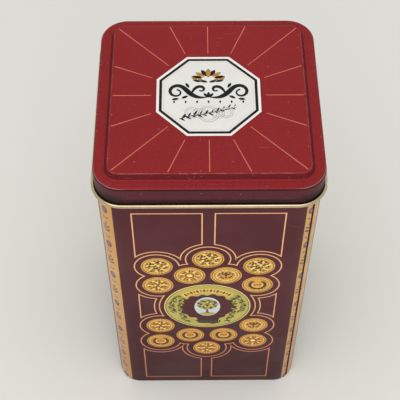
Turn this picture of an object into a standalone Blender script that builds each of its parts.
"""A tall square tin box with a slip-over lid, made of three pressed tinplate pieces.

Blender 4.5, metres, +Z up. The origin is the centre of the base, on the surface the tin stands on.
body_sheet   one sheet rolled into a rounded square tube and locked to itself by a folded seam in one
             corner, with its top edge curled inwards and its lower edge turned in and up as a hem
base_panel   a pressed panel whose rim hangs in the hem's channel, so that the hem holds it
lid          one drawn sheet with a raised plateau, a skirt that slips over the body, and an outward curl

Each piece is a sheet: its middle surface is lofted through rounded square rings, one for each point of
a profile, and Solidify gives it the sheet's thickness.
"""

import math

import bmesh
import bpy
from mathutils import Vector

# Sheet and body
SHEET = 0.00025  # tinplate thickness
BODY_WIDTH = 0.0840  # outside, both ways
BODY_HEIGHT = 0.1589  # floor to the top of the rim curl
CORNER_RADIUS = 0.0100  # outside radius of the body's upright corners
RIM_CURL_RADIUS = 0.0008  # outside radius of the curl round the mouth
RIM_CURL_TURN = 285.0  # degrees from the wall round to the curl's free edge

# Hem and base
HEM_GAP = 0.0003  # free space on each side of the base's rim inside the hem
HEM_HEIGHT = 0.0022  # height of the hem's inner leg
BEND_RADIUS = 0.0004  # middle of the sheet, in the hem and on the base's rim
BASE_STEP_INSET = 0.0060  # from the body's outside to the foot of the step in the base
BASE_STEP_RUN = 0.0006
BASE_STEP_RISE = 0.0008
BASE_STEP_FILLET = 0.0003

# Side seam
SEAM_ANGLE = -48.0  # degrees about the corner's centre, in the front right corner
SEAM_WIDTH = 0.0042  # of the folded layers, inside the body
SEAM_FOLD = 0.0007  # how far the folded layers stand in from the wall
SEAM_END_GAP = 0.0004  # clear of the base below and of the rim curl above
GROOVE_WIDTH = 0.00040
GROOVE_DEPTH = 0.00014

# Lid
SLIP_GAP = 0.0003  # between the lid's skirt and the body, and under the lid's flange
SKIRT_DEPTH = 0.0102  # top of the flange to the underside of the curl
LID_CURL_RADIUS = 0.0008
LID_CURL_TURN = 292.0
EDGE_RADIUS = 0.0008  # middle of the sheet, where the flange turns down into the skirt
FLANGE_WIDTH = 0.0042  # from the skirt's outside to the foot of the plateau
PLATEAU_RUN = 0.0014
PLATEAU_RISE = 0.0024
PLATEAU_CORNER_RADIUS = 0.0041  # of the plateau's top edge
PLATEAU_FILLET = 0.0006

# Fineness
CORNER_STEPS = 8
CURL_STEPS = 9
BEND_STEPS = 3
SEAM_STEPS = 4

TINPLATE = {"colour": (0.60, 0.50, 0.30, 1.0), "roughness": 0.35, "metallic": 1.0}
MAROON_INK = {"colour": (0.095, 0.030, 0.034, 1.0), "roughness": 0.38, "metallic": 0.0}
RED_INK = {"colour": (0.270, 0.028, 0.032, 1.0), "roughness": 0.38, "metallic": 0.0}


def clear_scene():
    """Removes every object, so that only the tin is left at the end."""
    for obj in list(bpy.data.objects):
        bpy.data.objects.remove(obj)


def new_collection(name):
    """A collection linked to the scene."""
    collection = bpy.data.collections.new(name)
    bpy.context.scene.collection.children.link(collection)
    return collection


def new_material(name, colour, roughness, metallic):
    """A plain Principled material."""
    material = bpy.data.materials.new(name)
    material.use_nodes = True
    shader = material.node_tree.nodes["Principled BSDF"]
    shader.inputs["Base Color"].default_value = colour
    shader.inputs["Roughness"].default_value = roughness
    shader.inputs["Metallic"].default_value = metallic
    material.diffuse_color = colour
    return material


def arc(centre, radius, start, end, steps):
    """Points (inset, height) on an arc. At 0 degrees a point is further in, at 90 higher."""
    points = []
    for i in range(steps + 1):
        angle = math.radians(start + (end - start) * i / steps)
        points.append((centre[0] + radius * math.cos(angle), centre[1] + radius * math.sin(angle)))
    return points


def filleted(corners, steps=BEND_STEPS):
    """A profile through corners (inset, height, fillet radius), with each corner rounded by an arc."""
    points = [corners[0][:2]]
    for before, corner, after in zip(corners, corners[1:], corners[2:]):
        here = Vector(corner[:2])
        back = (Vector(before[:2]) - here).normalized()
        ahead = (Vector(after[:2]) - here).normalized()
        half = back.angle(ahead) / 2
        centre = here + (back + ahead).normalized() * corner[2] / math.sin(half)
        first = here + back * corner[2] / math.tan(half) - centre
        turn = first.angle_signed(here + ahead * corner[2] / math.tan(half) - centre)
        for i in range(steps + 1):
            angle = -turn * i / steps
            cosine, sine = math.cos(angle), math.sin(angle)
            spoke = Vector((first.x * cosine - first.y * sine, first.x * sine + first.y * cosine))
            points.append(tuple(centre + spoke))
    points.append(corners[-1][:2])
    return points


def rounded_square(half_width, radius, height):
    """The corners' arc points of a rounded square, anticlockwise from the right-hand side."""
    points = []
    for quarter in range(4):
        turn = math.radians(90 * quarter)
        for i in range(CORNER_STEPS + 1):
            angle = turn + math.radians(90) * i / CORNER_STEPS
            x = (half_width - radius) * (1 if quarter in (0, 3) else -1) + radius * math.cos(angle)
            y = (half_width - radius) * (1 if quarter in (0, 1) else -1) + radius * math.sin(angle)
            points.append(Vector((x, y, height)))
    return points


def pressed_sheet(name, rings, closed_top, material, collection):
    """A sheet whose middle surface runs through the rings (half width, corner radius, height).

    The first ring is an edge loop that is extruded from ring to ring. With closed_top the last ring is
    filled by one flat face. Solidify then gives the sheet its thickness.
    """
    mesh = bpy.data.meshes.new(name)
    bm = bmesh.new()
    loop = [bm.verts.new(point) for point in rounded_square(*rings[0])]
    edges = [bm.edges.new((a, b)) for a, b in zip(loop, loop[1:] + loop[:1])]
    for ring in rings[1:]:
        made = bmesh.ops.extrude_edge_only(bm, edges=edges)["geom"]
        verts = [item for item in made if isinstance(item, bmesh.types.BMVert)]
        edges = [item for item in made if isinstance(item, bmesh.types.BMEdge)]
        for vert, point in zip(verts, rounded_square(*ring)):
            vert.co = point
    if closed_top:
        bmesh.ops.contextual_create(bm, geom=edges)
    bmesh.ops.recalc_face_normals(bm, faces=bm.faces)
    bm.to_mesh(mesh)
    bm.free()
    mesh.materials.append(material)
    mesh.shade_smooth()
    mesh.set_sharp_from_angle(angle=math.radians(40))
    sheet = bpy.data.objects.new(name, mesh)
    collection.objects.link(sheet)
    thickness = sheet.modifiers.new("sheet_thickness", "SOLIDIFY")
    thickness.thickness = SHEET
    thickness.offset = 0
    thickness.use_even_offset = True
    return sheet


def rings_from(profile, half_width, radius):
    """Rings that follow a profile (inset, height) inwards from an outline, keeping its corners' centres."""
    return [(half_width - inset, radius - inset, height) for inset, height in profile]


def body_profile():
    """The body's sheet from the hem's free edge, down and round under, up the wall and over the curl."""
    wall = SHEET / 2
    leg = hem_leg_inset()
    hem = filleted(
        [(leg, HEM_HEIGHT, 0), (leg, wall, BEND_RADIUS), (wall, wall, BEND_RADIUS), (wall, BODY_HEIGHT / 2, 0)]
    )
    middle_radius = RIM_CURL_RADIUS - wall
    centre = (wall + middle_radius, BODY_HEIGHT - RIM_CURL_RADIUS)
    curl = arc(centre, middle_radius, 180, 180 - RIM_CURL_TURN, CURL_STEPS)
    return hem[:-1] + curl


def hem_leg_inset():
    """From the body's outside to the middle of the hem's inner leg: two walls, the rim and its gaps."""
    return 2.5 * SHEET + 2 * HEM_GAP


def base_height():
    """Height of the middle of the base where it passes over the hem's inner leg."""
    return HEM_HEIGHT + HEM_GAP + SHEET / 2


def base_profile():
    """The base's sheet from the lower edge of its rim, up, over the hem's leg and in to the raised panel."""
    rim = 1.5 * SHEET + HEM_GAP
    level = base_height()
    foot = BASE_STEP_INSET
    top = BASE_STEP_INSET + BASE_STEP_RUN
    return filleted(
        [
            (rim, SHEET + HEM_GAP, 0),
            (rim, level, BEND_RADIUS),
            (foot, level, BASE_STEP_FILLET),
            (top, level + BASE_STEP_RISE, BASE_STEP_FILLET),
            (top + BEND_RADIUS, level + BASE_STEP_RISE, 0),
        ]
    )


def lid_half_width():
    """Half the width over the lid's skirt."""
    return BODY_WIDTH / 2 + SLIP_GAP + SHEET


def flange_top():
    """Height of the lid's flange, which rests just above the body's rim."""
    return BODY_HEIGHT + SLIP_GAP + SHEET


def lid_skirt_profile():
    """The lid's sheet from the curl's free edge, round the curl, up the skirt and over onto the flange."""
    wall = SHEET / 2
    middle_radius = LID_CURL_RADIUS - wall
    centre = (wall - middle_radius, flange_top() - SKIRT_DEPTH + LID_CURL_RADIUS)
    curl = arc(centre, middle_radius, -LID_CURL_TURN, 0, CURL_STEPS)
    level = flange_top() - wall
    edge = filleted([(wall, centre[1], 0), (wall, level, EDGE_RADIUS), (FLANGE_WIDTH / 2, level, 0)])
    return curl[:-1] + edge


def lid_plateau_profile():
    """The lid's sheet from the flange up the plateau's side and onto its top."""
    level = flange_top() - SHEET / 2
    top = FLANGE_WIDTH + PLATEAU_RUN
    return filleted(
        [
            (FLANGE_WIDTH / 2, level, 0),
            (FLANGE_WIDTH, level, PLATEAU_FILLET),
            (top, level + PLATEAU_RISE, PLATEAU_FILLET),
            (top + BEND_RADIUS * 2, level + PLATEAU_RISE, 0),
        ]
    )[1:]


def lid_rings():
    """The lid's rings: the skirt's follow the body's corners, the plateau's have a tighter corner."""
    half = lid_half_width()
    radius = CORNER_RADIUS + SLIP_GAP + SHEET
    skirt = rings_from(lid_skirt_profile(), half, radius)
    plateau_radius = PLATEAU_CORNER_RADIUS + FLANGE_WIDTH + PLATEAU_RUN
    return skirt + rings_from(lid_plateau_profile(), half, plateau_radius)


def prism(name, outline, low, high, collection):
    """An upright prism on a flat outline, kept as a helper that is never rendered."""
    mesh = bpy.data.meshes.new(name)
    bm = bmesh.new()
    face = bm.faces.new([bm.verts.new((x, y, low)) for x, y in outline])
    made = bmesh.ops.extrude_face_region(bm, geom=[face])["geom"]
    top = [item for item in made if isinstance(item, bmesh.types.BMVert)]
    bmesh.ops.translate(bm, verts=top, vec=(0, 0, high - low))
    bmesh.ops.recalc_face_normals(bm, faces=bm.faces)
    bm.to_mesh(mesh)
    bm.free()
    helper = bpy.data.objects.new(name, mesh)
    helper.hide_render = True
    helper.display_type = "WIRE"
    collection.objects.link(helper)
    return helper


def corner_strip(inner, outer, width):
    """The outline of a strip that hugs the seam's corner, between two radii about the corner's centre."""
    centre = Vector((BODY_WIDTH / 2 - CORNER_RADIUS, CORNER_RADIUS - BODY_WIDTH / 2))
    spread = math.degrees(width / 2 / outer)
    angles = [SEAM_ANGLE + spread * (2 * i / SEAM_STEPS - 1) for i in range(SEAM_STEPS + 1)]

    def along(radius, order):
        return [
            centre + Vector((math.cos(math.radians(a)), math.sin(math.radians(a)))) * radius for a in order
        ]

    return along(outer, angles) + along(inner, reversed(angles))


def add_side_seam(body, cutters):
    """Cuts the seam's groove down the outside of one corner, and adds its folded layers inside."""
    groove = corner_strip(CORNER_RADIUS - GROOVE_DEPTH, CORNER_RADIUS + SHEET, GROOVE_WIDTH)
    groove_top = BODY_HEIGHT - 2 * RIM_CURL_RADIUS
    cut = body.modifiers.new("seam_groove", "BOOLEAN")
    cut.operation = "DIFFERENCE"
    cut.object = prism("seam_groove_cutter", groove, BEND_RADIUS + SHEET, groove_top, cutters)
    folds = corner_strip(CORNER_RADIUS - SHEET - SEAM_FOLD, CORNER_RADIUS - SHEET / 2, SEAM_WIDTH)
    folds_low = base_height() + SHEET / 2 + SEAM_END_GAP
    folds_high = BODY_HEIGHT - 2 * RIM_CURL_RADIUS - SEAM_END_GAP
    join = body.modifiers.new("seam_folds", "BOOLEAN")
    join.operation = "UNION"
    join.object = prism("seam_folds_solid", folds, folds_low, folds_high, cutters)


def build():
    """Makes the three pieces."""
    clear_scene()
    tin = new_collection("square_slip_lid_tin")
    cutters = new_collection("cutters")
    maroon = new_material("maroon_printed_tinplate", **MAROON_INK)
    red = new_material("red_printed_tinplate", **RED_INK)
    lacquer = new_material("gold_lacquered_tinplate", **TINPLATE)

    half = BODY_WIDTH / 2
    body = pressed_sheet("body_sheet", rings_from(body_profile(), half, CORNER_RADIUS), False, maroon, tin)
    add_side_seam(body, cutters)
    pressed_sheet("base_panel", rings_from(base_profile(), half, CORNER_RADIUS), True, lacquer, tin)
    pressed_sheet("lid", lid_rings(), True, red, tin)


build()
